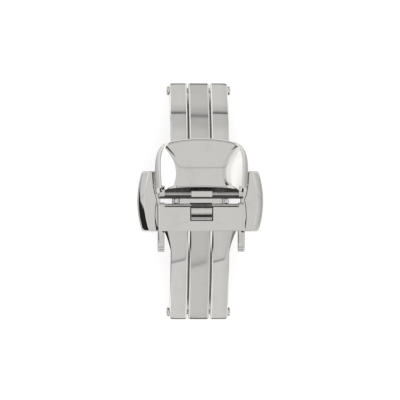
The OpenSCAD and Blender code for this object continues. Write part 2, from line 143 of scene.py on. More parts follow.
past_corner = calc(tent, "MAXIMUM", calc(tent, "SUBTRACT", lean["x"], seam_corner), 0.0)
lean["seam"] = calc(tent, "MULTIPLY_ADD", calc(tent, "POWER", past_corner, 2.0), seam_sag, askew)
tone = tent_tone
for way, low, high, soft_low, soft_high, gain in tent_bands:
    tone = dimmed(tent, tone, band(tent, lean[way], low, high, soft_low, soft_high), gain)
# A black cloth low on the left, from the legs to the cover. Its upper edge is highest towards the legs.
# round_left is the angle round from -X towards +Y, and down is the angle down from straight up.
cloth_level, cloth_highest, cloth_rise, cloth_fall = 60.0, 26.0, 2.8, 0.8
cloth_edge, cloth_width, cloth_tone = (-2.0, 3.0), (-55.0, 13.0, 5.0, 2.0), 0.03
round_left = in_degrees(tent, "ARCTAN2", dy, calc(tent, "MULTIPLY", dx, -1.0))
down = in_degrees(tent, "ARCCOSINE", dz)
rising = calc(tent, "MULTIPLY_ADD", calc(tent, "MINIMUM", round_left, 0.0), cloth_rise, cloth_level)
falling = calc(tent, "MULTIPLY_ADD", calc(tent, "MAXIMUM", round_left, 0.0), cloth_fall, rising)
cloth_top = calc(tent, "MAXIMUM", falling, cloth_highest)
below_top = ease(tent, calc(tent, "SUBTRACT", down, cloth_top), *cloth_edge)
in_cloth = calc(tent, "MULTIPLY", below_top, band(tent, round_left, *cloth_width))
tone = dimmed(tent, tone, in_cloth, cloth_tone)
# The dark camera, its stand and other dark things above the clasp, seen through openings in the
# tent's top: from and to in X, from and to in Y, and how soft the edges are
dark_patches = (
    (-11.5, -1.0, 11.5, 25.0, 1.2),
    (-17.0, -6.0, 17.0, 25.0, 1.5),
    (5.0, 21.0, 18.5, 27.0, 1.0),
    (5.5, 24.0, -10.0, -4.8, 0.8),
    (-2.0, 8.0, 29.0, 33.0, 1.0),
)
patch_tone = 0.05
for x_low, x_high, y_low, y_high, soft in dark_patches:
    across = band(tent, lean["x"], x_low, x_high, soft)
    along = band(tent, lean["y"], y_low, y_high, soft)
    tone = dimmed(tent, tone, calc(tent, "MULTIPLY", across, along), patch_tone)
# A grey stretch of the tent low on the right, behind the lower blades
grey_round, grey_down, grey_tone = (-45.0, -22.0, 2.0), (52.0, 72.0, 3.0), 0.4
round_right = in_degrees(tent, "ARCTAN2", dy, dx)
grey = calc(tent, "MULTIPLY", band(tent, round_right, *grey_round), band(tent, down, *grey_down))
tone = dimmed(tent, tone, grey, grey_tone)
# The far right side of the tent, which falls off towards the table
dusk_down, dusk_side, dusk_tone = (52.0, 84.0), (0.2, 0.9), 0.55
down_right = in_degrees(tent, "ARCTAN2", dx, dz)
dusk = calc(tent, "MULTIPLY", ease(tent, down_right, *dusk_down), ease(tent, dx, *dusk_side))
tone = dimmed(tent, tone, dusk, dusk_tone)
# The dark gap between the tent's skirt and the table, paler on the right, with white cards in it: one
# towards each end of the clasp on the right, and one on each side of -X on the left
gap_down, gap_tone, right_side, right_gap = (72.0, 86.5, 1.5), 0.05, (0.35, 0.5), 0.15
right_cards, left_cards, left_glow = (0.2, 0.3), (19.0, 75.0, 1.5), 1.6
gap = band(tent, down, *gap_down)
right = ease(tent, dx, *right_side)
tone = dimmed(tent, tone, dimmed(tent, gap, right, right_gap), gap_tone)
right_card = calc(tent, "MULTIPLY", right, ease(tent, calc(tent, "ABSOLUTE", dy), *right_cards))
tone = calc(tent, "ADD", tone, calc(tent, "MULTIPLY", gap, right_card))
left_card = calc(tent, "MULTIPLY", gap, band(tent, calc(tent, "ABSOLUTE", round_left), *left_cards))
tone = calc(tent, "MULTIPLY_ADD", left_card, left_glow, tone)
tent_out = tent.nodes.new("ShaderNodeOutputWorld")
tent.links.new(add(tent, "Background", None, tone), tent_out.inputs["Surface"])


# The table: a wide white paper under the clasp. It glows a little for the lens and for the steel, so
# that it shows as white, and it still takes the clasp's faint shadow. What the steel mirrors of it has
# a painted shadow close to the clasp, and under the blades it has a painted shade, to make their gaps dark.
def noise(tree, place, scale, detail=2.0, rough=0.5):
    """Cloudy noise of 0 to 1, with about so many clouds to the metre."""
    return add(tree, "TexNoise", place, None, scale, detail, rough)


sheet_half = 6.0
paper_glow = 0.74
fibres_per_metre, fibre_greys = 900.0, (0.40, 0.43)
mirrored_shadow_reach, mirrored_shadow_tone = (0.010, 0.070), 0.05
shade_across, shade_along = (0.0040, 0.0060), (0.0104, 0.0235, 0.0018, 0.0025)
paper = bpy.data.materials.new("white_paper")
paper.use_nodes = True
page = paper.node_tree
page.nodes.clear()
on_page = page.nodes.new("ShaderNodeTexCoord").outputs["Object"]
paper_colour = add(page, "ValToRGB", noise(page, on_page, fibres_per_metre))
for stop, grey_value in zip(paper_colour.node.color_ramp.elements, fibre_greys):
    stop.color = (grey_value, grey_value, grey_value, 1.0)
matt = add(page, "BsdfDiffuse", paper_colour)
ray = page.nodes.new("ShaderNodeLightPath")
mirror_ray = ray.outputs["Is Glossy Ray"]
seen = calc(page, "ADD", ray.outputs["Is Camera Ray"],
            calc(page, "ADD", mirror_ray, ray.outputs["Is Transmission Ray"]))
lit = calc(page, "MULTIPLY", calc(page, "MINIMUM", seen, 1.0), paper_glow)
page_x, page_y = (calc(page, "ABSOLUTE", axis)
                  for axis in add(page, "SeparateXYZ", on_page).node.outputs[:2])
# A painted shade: in a fixed strip under the blades the paper's glow is taken away, so that their gaps look dark.
between_arms = calc(page, "SUBTRACT", 1.0, ease(page, page_x, *shade_across))
shade = calc(page, "MULTIPLY", between_arms, band(page, page_y, *shade_along))
shaded = dimmed(page, lit, shade, 0.0)
# A painted shadow: the glow that the steel mirrors fades close to the clasp, in place of the shade that the clasp
# casts on the paper.
away = add(page, "VectorMath", on_page, operation="LENGTH").node.outputs["Value"]
painted_shadow_near_clasp = calc(page, "SUBTRACT", 1.0, ease(page, away, *mirrored_shadow_reach))
with_painted_shadow = dimmed(page, shaded, calc(page, "MULTIPLY", painted_shadow_near_clasp, mirror_ray), mirrored_shadow_tone)
glow = add(page, "Emission", None, with_painted_shadow)
page_out = page.nodes.new("ShaderNodeOutputMaterial")
page.links.new(add(page, "AddShader", matt, glow), page_out.inputs["Surface"])
sheet_mesh = bpy.data.meshes.new("table")
sheet_corners = [(x * sheet_half, y * sheet_half, 0) for x, y in ((-1, -1), (1, -1), (1, 1), (-1, 1))]
sheet_mesh.from_pydata(sheet_corners, [], [(0, 1, 2, 3)])
sheet_mesh.materials.append(paper)
table = bpy.data.objects.new("table", sheet_mesh)
scene.collection.objects.link(table)


# Base blade: the centre bar between the two hinges, bent from one strip of stainless
# steel, with the flat pad brazed across its middle that carries the lock. Polished all over.
def wear_group(name, **values):
    """An empty node group for the wear of steel, with its inlets and outlets: it takes a place and the
    given values, and hands out a roughness, a height and a tint."""
    made = bpy.data.node_groups.new(name, "ShaderNodeTree")
    made.interface.new_socket("Place", in_out="INPUT", socket_type="NodeSocketVector")
    for label, value in values.items():
        socket = made.interface.new_socket(label.replace("_", " "), in_out="INPUT",
                                           socket_type="NodeSocketFloat")
        socket.default_value = value
    for label in ("Roughness", "Height", "Tint"):
        made.interface.new_socket(label, in_out="OUTPUT", socket_type="NodeSocketFloat")
    return made, made.nodes.new("NodeGroupInput").outputs, made.nodes.new("NodeGroupOutput").inputs


def hairline_group():
    """Wear of polished steel, from its place: a slow ripple left by the buffing wheel, sparse hairlines
    in two directions, and smudges. The roughness grows with hairlines and smudges, the height is the
    ripple less the hairlines, and the tint is 0 on clean steel and 1 in a smudge."""
    made, inlets, outlets = wear_group("hairlines", Least_roughness=0.05, Smudge=0.06, Scratch=0.5)
    hair_rough, hair_deep, hair_tint = 0.10, -0.02, 0.5
    place, least, smudge, scratch = inlets[:4]
    ripple = noise(made, place, 170.0, detail=1.0, rough=0.4)
    lines = []
    for slant, long_way in ((0.35, 500.0), (-0.9, 800.0)):
        laid = add(made, "Mapping", place, None, (0.0, 0.0, slant), (long_way, 14000.0, 2500.0))
        lines.append(ease(made, noise(made, laid, 1.0, detail=1.0), 0.63, 0.72))
    hair = calc(made, "MULTIPLY", calc(made, "MAXIMUM", *lines), scratch)
    cloudy = ease(made, noise(made, place, 260.0, detail=3.0, rough=0.6), 0.48, 0.78)
    smudged = calc(made, "MULTIPLY_ADD", cloudy, smudge, least)
    rough = calc(made, "MULTIPLY_ADD", hair, hair_rough, smudged)
    deep = calc(made, "MULTIPLY_ADD", hair, hair_deep, ripple)
    tint = calc(made, "MULTIPLY_ADD", hair, hair_tint, cloudy)
    for value, outlet in zip((rough, deep, tint), outlets):
        made.links.new(value, outlet)
    return made


hairlines = hairline_group()
finishes = {}


def metal(name, dark, light, wear, bump_depth, **wear_values):
    """A steel: its colour runs from light to dark with the tint of its wear group, which also gives the
    roughness and the height of its bump."""
    made = bpy.data.materials.new(name)
    made.use_nodes = True
    tree = made.node_tree
    shader = tree.nodes["Principled BSDF"]
    shader.inputs["Metallic"].default_value = 1.0
    worn = tree.nodes.new("ShaderNodeGroup")
    worn.node_tree = wear
    place = tree.nodes.new("ShaderNodeTexCoord")
    tree.links.new(place.outputs["Object"], worn.inputs["Place"])
    for label, value in wear_values.items():
        worn.inputs[label.replace("_", " ")].default_value = value
    mixed = tree.nodes.new("ShaderNodeMix")
    mixed.data_type = "RGBA"
    clean, smudged = [socket for socket in mixed.inputs if socket.type == "RGBA"]
    clean.default_value = (*light, 1.0)
    smudged.default_value = (*dark, 1.0)
    tree.links.new(worn.outputs["Tint"], mixed.inputs["Factor"])
    colour = [socket for socket in mixed.outputs if socket.type == "RGBA"][0]
    tree.links.new(colour, shader.inputs["Base Color"])
    tree.links.new(worn.outputs["Roughness"], shader.inputs["Roughness"])
    bump = tree.nodes.new("ShaderNodeBump")
    bump.inputs["Strength"].default_value = 1.0
    bump.inputs["Distance"].default_value = bump_depth
    tree.links.new(worn.outputs["Height"], bump.inputs["Height"])
    tree.links.new(bump.outputs["Normal"], shader.inputs["Normal"])
    finishes[name] = made


metal("polished_steel", (0.600, 0.592, 0.574), (0.632, 0.624, 0.606), hairlines, 0.000010,
      Least_roughness=0.03, Smudge=0.04, Scratch=0.5)
metal("blade_steel", (0.535, 0.526, 0.508), (0.565, 0.556, 0.537), hairlines, 0.000010,
      Least_roughness=0.08, Smudge=0.05, Scratch=0.6)


def lid(points, ring):
    """Triangles over a flat ring of points, which run the way that the ring does."""
    three = np.array(tessellate_polygon([[Vector(points[i]) for i in ring]]))
    a, b, c = np.moveaxis(points[ring][three], 1, 0)
    whole = np.cross(points[ring], np.roll(points[ring], -1, 0)).sum(0)
    return ring[three if (np.cross(b - a, c - a) @ whole).sum() > 0 else three[:, ::-1]]


def skin(rings, looped=False):
    """Faces over rings of points: a point joins its neighbour on the ring and its partner on the next
    ring. A looped skin returns to its first ring; another has a flat lid over each end."""
    count, around = rings.shape[:2]
    index = np.arange(count * around).reshape(count, around)
    if looped:
        index = np.vstack([index, index[:1]])
    here, ahead = index[:-1], index[1:]
    quads = np.stack([here, np.roll(here, -1, 1), np.roll(ahead, -1, 1), ahead], -1).reshape(-1, 4)
    points = rings.reshape(-1, 3)
    lids = [] if looped else [lid(points, index[0][::-1]), lid(points, index[-1])]
    a, b, c = np.moveaxis(points[np.vstack([quads[:, [0, 1, 2]], quads[:, [0, 2, 3]]] + lids)], 1, 0)
    if (a * np.cross(b, c)).sum() < 0:
        quads, lids = quads[:, ::-1], [three[:, ::-1] for three in lids]
    return points, quads.tolist() + [face for three in lids for face in three.tolist()]


def keep_flats_flat(piece):
    """Flat faces keep their own normals beside soft edges."""
    flats = piece.modifiers.new("flats", "WEIGHTED_NORMAL")
    flats.mode = "FACE_AREA"
    flats.weight = 90


mm_per_m = 1000.0


def make(name, shells, body, stands_for, finish="polished_steel"):
    """A piece from closed shells in millimetres: its mesh, its finish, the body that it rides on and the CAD
    nodes that it stands for."""
    points, faces, first = [], [], 0
    for shell_points, shell_faces in shells:
        points.append(shell_points)
        faces += [[first + i for i in face] for face in shell_faces]
        first += len(shell_points)
    mesh = bpy.data.meshes.new(name)
    mesh.from_pydata((np.vstack(points) / mm_per_m).tolist(), [], faces)
    mesh.shade_smooth()
    mesh.materials.append(finishes[finish])
    piece = bpy.data.objects.new(name, mesh)
    scene.collection.objects.link(piece)
    keep_flats_flat(piece)
    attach(piece, body)
    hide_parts(*stands_for)
    return piece


def mirrored(rings, x=1, y=1):
    """The same rings on the other side of the clasp where x or y is -1."""
    return rings * np.array([x, y, 1.0])


# The hinge pins lie on the arc of the strip's inner side. The heights of the parts on the blades are mostly
# counted from blade_top or from a pivot, as in the CAD.
pivots = {joint["name"]: mm_per_m * np.array(joint.get("pos_m", (0, 0, 0))) for joint in frame["joints"]}
pin_y, pin_z = pivots["upper_arm_fold"][1:]
strip_outer, strip_thick = 46.5, 1.1
arc_centre_z = pin_z - math.sqrt((strip_outer - strip_thick) ** 2 - pin_y ** 2)
blade_top = arc_centre_z + strip_outer
tip_angle, tip_soft = math.radians(34.66), 0.28
bar_facet, under_facet, facet_power = 0.27, 0.2, 1.88
bar_slope, least_slope_cosine = 40.5, 0.95
bar_crown, crown_points = 0.02, 16
corner_turn = np.radians(np.linspace(0.0, 90.0, 7))


def bent_bar(angle, x_low, x_high, r_low, r_high, outer_edge=bar_facet, outer_slope=bar_slope):
    """A bar along the arc of the blades. At each angle from the middle its section is a rectangle, from
    x_low to x_high across and r_low to r_high outward, whose corners are narrow facets with soft ends:
    a quarter of a superellipse, cos and sin each to the same power above 1. The facets keep one slope to
    the table, as if filed with the clasp lying flat. The outer face is a parabola across."""
    base = np.radians([180.0, 270.0, 0.0, 90.0])
    turn_x = np.cos(base[:, None] + corner_turn).ravel()
    turn_r = np.sin(base[:, None] + corner_turn).ravel()
    round_x = np.sign(turn_x) * np.abs(turn_x) ** facet_power
    round_r = np.sign(turn_r) * np.abs(turn_r) ** facet_power
    at_high_x = np.repeat([False, True, True, False], corner_turn.size)
    at_high_r = np.repeat([False, False, True, True], corner_turn.size)
    angle, x_low, x_high, r_low, r_high, outer_edge = (
        np.broadcast_to(v, angle.shape)[:, None] for v in (angle, x_low, x_high, r_low, r_high, outer_edge))
    edge = np.where(at_high_r, np.where(at_high_x, outer_edge, bar_facet), under_facet)
    slope = np.radians(np.where(at_high_x & at_high_r, outer_slope, bar_slope))
    rise = edge * np.tan(np.arccos(np.minimum(np.cos(slope) / np.cos(angle), least_slope_cosine)))
    x = np.where(at_high_x, x_high - edge, x_low + edge) + edge * round_x
    r = np.where(at_high_r, r_high - bar_crown - rise, r_low + rise) + rise * round_r
    share = 0.5 - 0.5 * np.cos(np.linspace(0.0, math.pi, crown_points))[1:-1]
    left = 3 * corner_turn.size
    x_right, x_left = x[:, left - 1:left], x[:, left:left + 1]
    x = np.hstack([x[:, :left], x_right + (x_left - x_right) * share, x[:, left:]])
    r = np.hstack([r[:, :left], r_high - bar_crown * (2 * share - 1) ** 2, r[:, left:]])
    return np.stack([x, r * np.sin(angle), arc_centre_z + r * np.cos(angle)], -1)


def dent(y, depth, middle, half):
    """A shallow hollow along a bar, left by its bending: one cosine wave of the given half length."""
    return depth * 0.5 * (1.0 + np.cos(math.pi * np.clip((y - middle) / half, -1.0, 1.0)))


def tip_run(start, count, last_bend=84.0, bends=9):
    """Angles from start to the blades' tip, closer together in the last stretch, and how far the section
    has drawn in at each, by a quarter circle of radius tip_soft."""
    bend = np.radians(np.linspace(0.0, last_bend, bends))[1:]
    stop = tip_angle - tip_soft / strip_outer
    angle = np.concatenate([np.linspace(start, stop, count), stop + tip_soft * np.sin(bend) / strip_outer])
    drawn = np.concatenate([np.zeros(count), tip_soft * (1.0 - np.cos(bend))])
    return angle, drawn


def turned(along, radius, y, z, upright=False, around=48):
    """A turned piece: circles of the given radii at places along its axis, which runs across the clasp at
    y and z, or stands upright at y."""
    a = np.linspace(0.0, 2 * math.pi, around, endpoint=False)
    u = np.outer(radius, np.cos(a))
    v = np.outer(radius, np.sin(a))
    w = np.repeat(np.asarray(along, float)[:, None], around, 1)
    return np.stack([u, y + v, w] if upright else [w, y + u, z + v], -1)


def rod_profile(low, high, radius, soft, steps=6):
    """Places and radii of a straight rod whose two ends are rounded over by soft."""
    a = np.radians(np.linspace(0.0, 90.0, steps))
    step = soft * (1 - np.cos(a))
    thick = radius - soft * (1 - np.sin(a))
    return np.concatenate([low + step, (high - step)[::-1]]), np.concatenate([thick, thick[::-1]])


def drawn_in(outline, by):
    """The outline moved inward: each point along the bisector of its two sides. It runs anticlockwise."""
    side = np.roll(outline, -1, 0) - outline
    side = side / np.linalg.norm(side, axis=1, keepdims=True)
    after = np.stack([-side[:, 1], side[:, 0]], -1)
    before = np.roll(after, 1, 0)
    share = 1.0 + (after * before).sum(1, keepdims=True)
    return outline + by * (after + before) / share


def oblong(low, high):
    """The corners of a rectangle, given its low and its high one, anticlockwise."""
    return [low, (high[0], low[1]), high, (low[0], high[1])]


def rounded_corners(corners, radii, steps=6):
    """An anticlockwise outline through the corners, each one replaced by an arc of its own radius: the
    arc's points turn evenly from one side's normal to the other's."""
    corners = np.asarray(corners, float)
    radii = np.broadcast_to(np.asarray(radii, float), len(corners))[:, None]
    back = np.roll(corners, 1, 0) - corners
    on = np.roll(corners, -1, 0) - corners
    back = back / np.linalg.norm(back, axis=1, keepdims=True)
    on = on / np.linalg.norm(on, axis=1, keepdims=True)
    half = np.arccos(np.clip((back * on).sum(1), -1, 1))[:, None] / 2
    middle = corners + (back + on) / np.linalg.norm(back + on, axis=1, keepdims=True) * radii / np.sin(half)
    reach = radii / np.tan(half)
    first, last = corners + back * reach - middle, corners + on * reach - middle
    swing = math.pi - 2 * half
    k = np.linspace(0.0, 1.0, steps)[None, :]
    arc = np.sin((1 - k) * swing)[..., None] * first[:, None] + np.sin(k * swing)[..., None] * last[:, None]
    return (middle[:, None] + arc / np.sin(swing)[..., None]).reshape(-1, 2)


def plate(outline, low, high, edge, across=False, steps=5):
    """A flat piece: the outline carried from low to high, drawn in near both faces along a quarter
    circle of radius edge. The outline lies flat, in X and Y, or it stands across X, in Y and Z."""
    a = np.radians(np.linspace(0.0, 90.0, steps))
    inset = edge * (1 - np.sin(a))
    lift = edge * (1 - np.cos(a))
    flat = np.stack([drawn_in(outline, by) for by in np.concatenate([inset, inset[::-1]])])
    level = np.concatenate([low + lift, (high - lift)[::-1]])
    depth = np.repeat(level[:, None], flat.shape[1], 1)[..., None]
    return np.concatenate([depth, flat] if across else [flat, depth], -1)


def brick(low, high, edge, corner_r=0.1):
    """A block between two corners with soft edges."""
    return plate(rounded_corners(oblong(low[:2], high[:2]), corner_r), low[2], high[2], edge)


eye_radius, eye_gap, eye_soft = 1.0, 0.03, 0.1


def hinge_eye(low, high, y):
    """The round eye at the end of a bar that reaches from low to high, a little narrower than the bar."""
    return turned(*rod_profile(low + eye_gap, high - eye_gap, eye_radius, eye_soft), y, pin_z)


centre_half, centre_dent = 2.25, (0.03, -13.9, 4.0)
pad_x, pad_y, pad_soft = 6.2, 5.2, 0.08
pad_low = arc_centre_z + math.sqrt((strip_outer - strip_thick) ** 2 - pad_y ** 2)
half_run, half_drawn = tip_run(0.0, count=110)
run = np.concatenate([-half_run[:0:-1], half_run])
drawn = np.concatenate([half_drawn[:0:-1], half_drawn])
centre_top = strip_outer - drawn - dent(strip_outer * np.sin(run), *centre_dent)
centre_bar = bent_bar(run, -centre_half + drawn, centre_half - drawn, strip_outer - strip_thick + drawn,
                      centre_top)
pad = brick((-pad_x, -pad_y, pad_low), (pad_x, pad_y, blade_top), pad_soft)
centre_eyes = [skin(hinge_eye(-centre_half, centre_half, end * pin_y)) for end in (1, -1)]
make("centre_bar_and_pad", [skin(centre_bar), skin(pad), *centre_eyes], "base", ["base_blade"],
     "blade_steel")


# Hinge pins: turned from steel rod, one across each end of the blades. Their polished
# domed heads were riveted on last and stand a little proud of the side bars.
shank_radius = 0.5
half_along = np.array([0.0, 6.48, 6.50, 6.53, 6.60, 6.86, 6.95, 7.02, 7.07, 7.09])
half_radius = np.array([shank_radius, shank_radius, 0.80, 0.93, 0.97, 0.97, 0.93, 0.82, 0.60, 0.30])
pin_along = np.concatenate([-half_along[:0:-1], half_along])
pin_radius = np.concatenate([half_radius[:0:-1], half_radius])
for name, end in (("upper", 1), ("lower", -1)):
    make(f"{name}_domed_pin", [skin(turned(pin_along, pin_radius, end * pin_y, pin_z))],
         "base", [f"{name}_hinge_pin"])


# Lock: a satin-brushed housing with its slotted lid, milled from bar, and a polished guide on
# each side for the push-buttons' stems. Eight rivets through the pad hold all of it down.
def brushing_group():
    """Brushed steel, from its place: long fine lines along Y, deeper ones among them, and a slow cloud.
    The lines give the roughness and the height, and the tint is their mix with the cloud."""
    made, inlets, outlets = wear_group("brushing", Least_roughness=0.2, Spread=0.15)
    place, least, spread_by = inlets[:3]
    fine_place = add(made, "Mapping", place, None, None, (22000.0, 260.0, 9000.0))
    deep_place = add(made, "Mapping", place, None, None, (5200.0, 90.0, 2600.0))
    deep_share, line_share = 0.6, 0.6
    fine = calc(made, "MULTIPLY", noise(made, fine_place, 1.0, rough=0.6), 1.0 - deep_share)
    lines = calc(made, "MULTIPLY_ADD", noise(made, deep_place, 1.0, detail=1.0), deep_share, fine)
    rough = calc(made, "MULTIPLY_ADD", lines, spread_by, least)
    cloud = noise(made, place, 300.0)
    mottled = calc(made, "MULTIPLY_ADD", cloud, 1.0 - line_share, calc(made, "MULTIPLY", lines, line_share))
    for value, outlet in zip((rough, lines, ease(made, mottled, 0.35, 0.65)), outlets):
        made.links.new(value, outlet)
    return made


brushing = brushing_group()
# Its colour is far darker than steel's own: painted shade for the parts that lie deep under the cover, the frame
# and the buttons, over a real satin brushing.
metal("lock_steel", (0.07, 0.068, 0.066), (0.13, 0.127, 0.123), brushing, 0.000004,
      Least_roughness=0.30, Spread=0.20)


def keep(names, finish, soft, weld_within=0.000002, sharp_from=35.0):
    """CAD nodes whose shape is right: they get a finish and a small round on each sharp edge."""
    for name in names:
        part = nodes[name]
        part.data.materials.clear()
        part.data.materials.append(finishes[finish])
        part.data.shade_smooth()
        weld = part.modifiers.new("weld", "WELD")
        weld.merge_threshold = weld_within
        bevel = part.modifiers.new("soft_edges", "BEVEL")
        bevel.width = soft / mm_per_m
        bevel.segments = 2
        bevel.limit_method = "ANGLE"
        bevel.angle_limit = math.radians(sharp_from)
        keep_flats_flat(part)


keep(["lock_housing"], "lock_steel", 0.05)
keep(["housing_lid", "left_stem_guide", "right_stem_guide"], "polished_steel", 0.06)
keep(["lock_rivets"], "polished_steel", 0.03)


# Arms: on each side of the lock a fork of two bars, bent with the centre bar and flush with it.
# A riser plate joins the bars near the middle and carries the flat head plate over the lock.
bar_in, bar_out, bar_start_y, riser_y = 2.65, 6.45, 5.75, 6.45
flare, flare_from, flare_power, tip_corner = 1.58, 11.35, 1.35, 0.85
plain_facet, flare_facet, outer_slope = 0.13, 0.65, 27.0
riser_front, riser_out, riser_bridge_out = 5.7, 7.75, 7.70
riser_low, slot_top, riser_into = 8.2, blade_top + 0.15, 0.1
riser_soft, nested = 0.07, 0.02
head_front, head_low, head_high = 0.57, blade_top + 1.65, blade_top + 2.35
head_soft, head_corner = 0.08, 0.25
bar_run, bar_drawn = tip_run(math.asin(bar_start_y / strip_outer), count=130)
bar_y = strip_outer * np.sin(bar_run)
past = np.clip((flare_from - bar_y) / (flare_from - riser_y), 0.0, 1.0)
spread = flare * past ** flare_power
to_tip = strip_outer * (tip_angle - bar_run)
nip = np.clip(tip_corner - to_tip, 0.0, tip_corner - nested)
corner_cut = tip_corner - np.sqrt(tip_corner ** 2 - nip ** 2)
side_eye = hinge_eye(bar_in, bar_out, pin_y)
riser_top = head_low + riser_into
riser_leg = brick((bar_in, riser_front, riser_low), (riser_out, riser_y, riser_top), riser_soft)
riser_bridge = brick((-riser_bridge_out, riser_front + nested, slot_top),
                     (riser_bridge_out, riser_y - nested, riser_top + nested), riser_soft)
# Each arm: its name, its way along Y, half its head plate's width, and the dent in its bars
for name, way, head_half, bar_dent in (("upper", 1, 9.3, (0.09, 15.5, 7.0)),
                                       ("lower", -1, 9.5, (0.10, 18.0, 8.0))):
    body, stands_for = f"{name}_arm_body", [f"{name}_arm"]
    side_bar = bent_bar(
        bar_run, bar_in + bar_drawn, bar_out + spread - np.maximum(bar_drawn, corner_cut),
        strip_outer - strip_thick + bar_drawn, strip_outer - bar_drawn - dent(bar_y, *bar_dent),
        plain_facet + flare_facet * spread / flare, outer_slope)
    fork = [skin(mirrored(rings, side, way)) for side in (-1, 1) for rings in (side_bar, side_eye)]
    make(f"{name}_fork_bars", fork, body, stands_for)
    risers = [skin(mirrored(riser_leg, side, way)) for side in (-1, 1)]
    make(f"{name}_riser", [*risers, skin(mirrored(riser_bridge, 1, way))], body, stands_for)
    # The head plates' near-black steel is painted shade for the channel under the cover.
    head = brick((-head_half, head_front, head_low), (head_half, riser_y, head_high),
                 head_soft, head_corner)
    make(f"{name}_head_plate", [skin(mirrored(head, 1, way))], body, stands_for, "lock_steel")
keep(["upper_strikers", "lower_strikers"], "lock_steel", 0.04)


# Cover's hinge on the upper arm: two cheeks brazed to the head plate, with rounded upper ends,
# and the steel rod through them that the cover turns on.
def arrows(angles):
    """Unit arrows at the given angles."""
    return np.stack([np.cos(angles), np.sin(angles)], -1)


rod_at = pivots["cover_flip"][1:]
rod_y, rod_z = rod_at
rod_radius, rod_half, rod_soft = 0.42, 9.36, 0.1
cheek_in, cheek_out, cheek_round, cheek_soft = 8.1, 9.3, 0.72, 0.12
cheek_low, cheek_top, cheek_back, cheek_middle = head_high - 0.057, rod_z + 0.67, 6.42, 5.0
arc_points = 6
turn_up = np.radians(np.linspace(180.0, 90.0, 14))
nose = (rod_at + cheek_round * arrows(turn_up))[::-1]
# The fourth corner only gives the upper edge its way: the nose takes the place of its arc
cheek_corners = rounded_corners([(rod_y - cheek_round, cheek_low), (cheek_back, cheek_low),
                                 (cheek_back, cheek_top), (cheek_middle, cheek_top)],
                                [0.05, 0.12, 0.35, 0.3], arc_points)
cheek_side = np.concatenate([cheek_corners[:-arc_points], nose])
cheek = plate(cheek_side, cheek_in, cheek_out, cheek_soft, across=True)
for name, side in (("left", -1), ("right", 1)):
    make(f"{name}_hinge_cheek", [skin(mirrored(cheek, side))], "upper_arm_body", [f"{name}_cheek"])
metal("spring_steel", (0.38, 0.375, 0.365), (0.50, 0.495, 0.48), brushing, 0.000002,
      Least_roughness=0.12, Spread=0.10)
cover_rod = turned(*rod_profile(-rod_half, rod_half, rod_radius, rod_soft), rod_y, rod_z)
make("cover_hinge_rod", [skin(cover_rod)], "upper_arm_body", ["cover_rod"],
     "spring_steel")


# Flip cover: a cushion-shaped shell pressed from thick sheet, crowned along the strap, with a long
# facet on each side and a rolled rim. Its face is bare and mirror polished.
def soft_least(values, softness):
    """The least of several arrays, with the crossings rounded: -k ln(sum of exp(-v / k))."""
    stack = np.stack(np.broadcast_arrays(*values))
    least = stack.min(0)
    return least - softness * np.log(np.exp(-(stack - least) / softness).sum(0))


def edge_mix(distances, values, softness):
    """For each ray the values of the edges, mixed by how near they are: each weighs exp(-(how much
    further it is than the nearest) / softness)."""
    weights = np.exp(-(distances - distances.min(0)) / softness)
    return (np.array(values) @ weights) / weights.sum(0)


very_far = 1000.0


def ray_out(start, way, middle, radius):
    """Distance from start along each way to where it leaves a circle."""
    off = np.asarray(start, float) - middle
    b = way @ off
    return -b + np.sqrt(np.maximum(b * b - off @ off + radius ** 2, 0.0))


def ray_in(start, way, middle, radius):
    """Distance from start along each way to where it enters a circle, or very far if it misses."""
    off = np.asarray(start, float) - middle
    b = way @ off
    room = b * b - off @ off + radius ** 2
    return np.where((room > 0) & (b < 0), -b - np.sqrt(np.maximum(room, 0.0)), very_far)


def dished(start, outline, rim, face, power, sink, middles=26, bends=18, evened=6, crowding=0.8):
    """Rings of a polished top from its middle out and down its rolled rim. The rings lie on straight rays
    to where the rim begins, closer together near it. Below that they follow a quarter of a superellipse,
    which reaches rim outward and sink * rim down from the face. Where the rim begins is evened out over
    a few rays to each side."""
    ray = outline - start
    ahead = np.roll(outline, -1, 0) - np.roll(outline, 1, 0)
    cross = np.abs(ray[:, 0] * ahead[:, 1] - ray[:, 1] * ahead[:, 0])
    inner = 1.0 - rim * np.linalg.norm(ahead, axis=1) / cross
    inner = np.mean([np.roll(inner, k) for k in range(-evened, evened + 1)], 0)
    share = np.linspace(0.0, 1.0, middles)[1:] ** crowding
    a = np.radians(np.linspace(0.0, 90.0, bends))[1:]
    s = np.concatenate([share[:, None] * inner, 1.0 - (1.0 - inner) * (1.0 - np.sin(a)[:, None] ** power)])
    flat = start + s[..., None] * ray
    drop = np.concatenate([np.zeros((share.size, len(outline))),
                           sink * rim * (1 - np.maximum(np.cos(a), 0.0)[:, None] ** power)])
    return np.concatenate([flat, (face(flat[..., 0], flat[..., 1]) - drop)[..., None]], -1)


def ring_at(outline, inset, level):
    """The outline drawn in by an inset, at one level or at a level of its own for each point."""
    return np.concatenate([drawn_in(outline, inset), np.broadcast_to(level, len(outline))[:, None]], -1)


